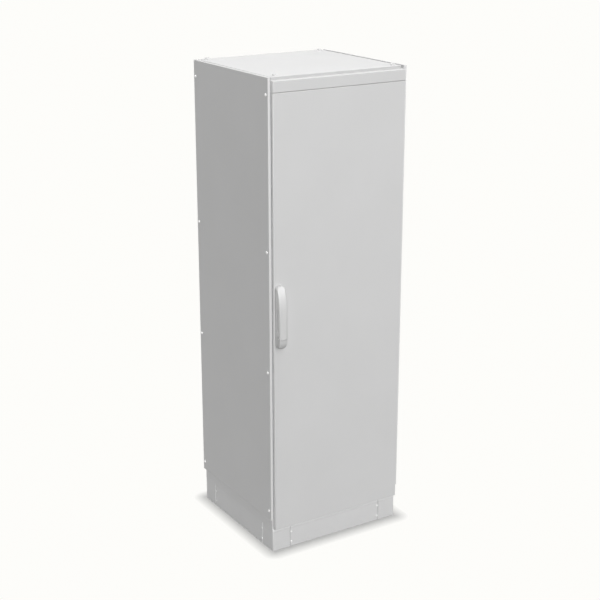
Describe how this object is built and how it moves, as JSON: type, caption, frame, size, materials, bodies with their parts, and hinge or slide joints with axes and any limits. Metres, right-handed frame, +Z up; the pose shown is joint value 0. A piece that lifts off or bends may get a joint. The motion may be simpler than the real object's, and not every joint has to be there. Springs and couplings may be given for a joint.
{
  "type": "modular electrical cabinet",
  "caption": "Free-standing light grey modular electrical cabinet on a plinth, with a hinged front door, swing handle and rod latch.",
  "frame": {"origin": "on the floor, under the middle of the side panels and of the floor fixing holes", "axes": "+Z up, -Y out of the door, +X towards the hinge side"},
  "size_m": [0.686, 0.6837, 2.108],
  "materials": {
    "grey_powder_coat": "fine textured light grey powder coat",
    "galvanised_steel": "galvanised sheet",
    "zinc_fasteners": "zinc plated",
    "foamed_seal": "foamed polyurethane",
    "handle_plastic": "satin light grey",
    "guide_plastic": "moulded"
  },
  "bodies": {
    "frame": {"base_rail_front": "grey_powder_coat", "base_rail_left": "grey_powder_coat", "base_rail_rear": "grey_powder_coat", "base_rail_right": "grey_powder_coat", "gland_plate_front": "galvanised_steel", "gland_plate_rear": "galvanised_steel", "header_panel": "grey_powder_coat", "hinge_arms": "galvanised_steel", "mounting_plate": "galvanised_steel", "mounting_plate_brackets": "galvanised_steel", "plinth_corner_front_left": "grey_powder_coat", "plinth_corner_front_right": "grey_powder_coat", "plinth_corner_rear_left": "grey_powder_coat", "plinth_corner_rear_right": "grey_powder_coat", "plinth_cover_front": "grey_powder_coat", "plinth_cover_left": "grey_powder_coat", "plinth_cover_rear": "grey_powder_coat", "plinth_cover_right": "grey_powder_coat", "plinth_screws": "zinc_fasteners", "post_front_left": "galvanised_steel", "post_front_right": "galvanised_steel", "post_rear_left": "galvanised_steel", "post_rear_right": "galvanised_steel", "rear_panel": "grey_powder_coat", "rear_panel_screws": "zinc_fasteners", "rod_keepers": "galvanised_steel", "roof_bolts": "zinc_fasteners", "roof_panel": "grey_powder_coat", "side_crossrails_left": "galvanised_steel", "side_crossrails_right": "galvanised_steel", "side_panel_left": "grey_powder_coat", "side_panel_right": "grey_powder_coat", "side_panel_screws": "zinc_fasteners", "top_rail_front": "galvanised_steel", "top_rail_left": "galvanised_steel", "top_rail_rear": "galvanised_steel", "top_rail_right": "galvanised_steel"},
    "door": {"door_panel": "grey_powder_coat", "door_seal": "foamed_seal", "door_stiffener_lock_side": "galvanised_steel", "door_stiffener_hinge_side": "galvanised_steel", "hinge_ears": "galvanised_steel", "hinge_pins": "zinc_fasteners", "handle_base": "handle_plastic", "lock_case": "galvanised_steel", "rod_guides": "guide_plastic"},
    "handle_hub": {"handle_hub": "handle_plastic", "handle_lever_pin": "zinc_fasteners", "lock_cam": "galvanised_steel"},
    "handle_lever": {"handle_lever": "handle_plastic"},
    "upper_rod": {"upper_lock_rod": "galvanised_steel"},
    "lower_rod": {"lower_lock_rod": "galvanised_steel"}
  },
  "joints": [
    {"name": "door_hinge", "type": "hinge", "parent": "frame", "child": "door", "pos_m": [0.3135, -0.3225, 1.074], "axis": [0, 0, 1], "range_deg": [0, 120]},
    {"name": "handle_turn", "type": "hinge", "parent": "door", "child": "handle_hub", "pos_m": [-0.3018, -0.344, 0.984], "axis": [0, 1, 0], "range_deg": [0, 90]},
    {"name": "handle_swing", "type": "hinge", "parent": "handle_hub", "child": "handle_lever", "pos_m": [-0.3018, -0.35375, 1.012], "axis": [1, 0, 0], "range_deg": [0, 35]},
    {"name": "upper_rod_slide", "type": "slide", "parent": "door", "child": "upper_rod", "axis": [0, 0, -1], "range_m": [0, 0.01697]},
    {"name": "lower_rod_slide", "type": "slide", "parent": "door", "child": "lower_rod", "axis": [0, 0, 1], "range_m": [0, 0.01697]}
  ],
  "couplings": [
    {"joint": "upper_rod_slide", "follows": "handle_turn", "m_per_rad": 0.010804},
    {"joint": "lower_rod_slide", "follows": "handle_turn", "m_per_rad": 0.010804}
  ]
}
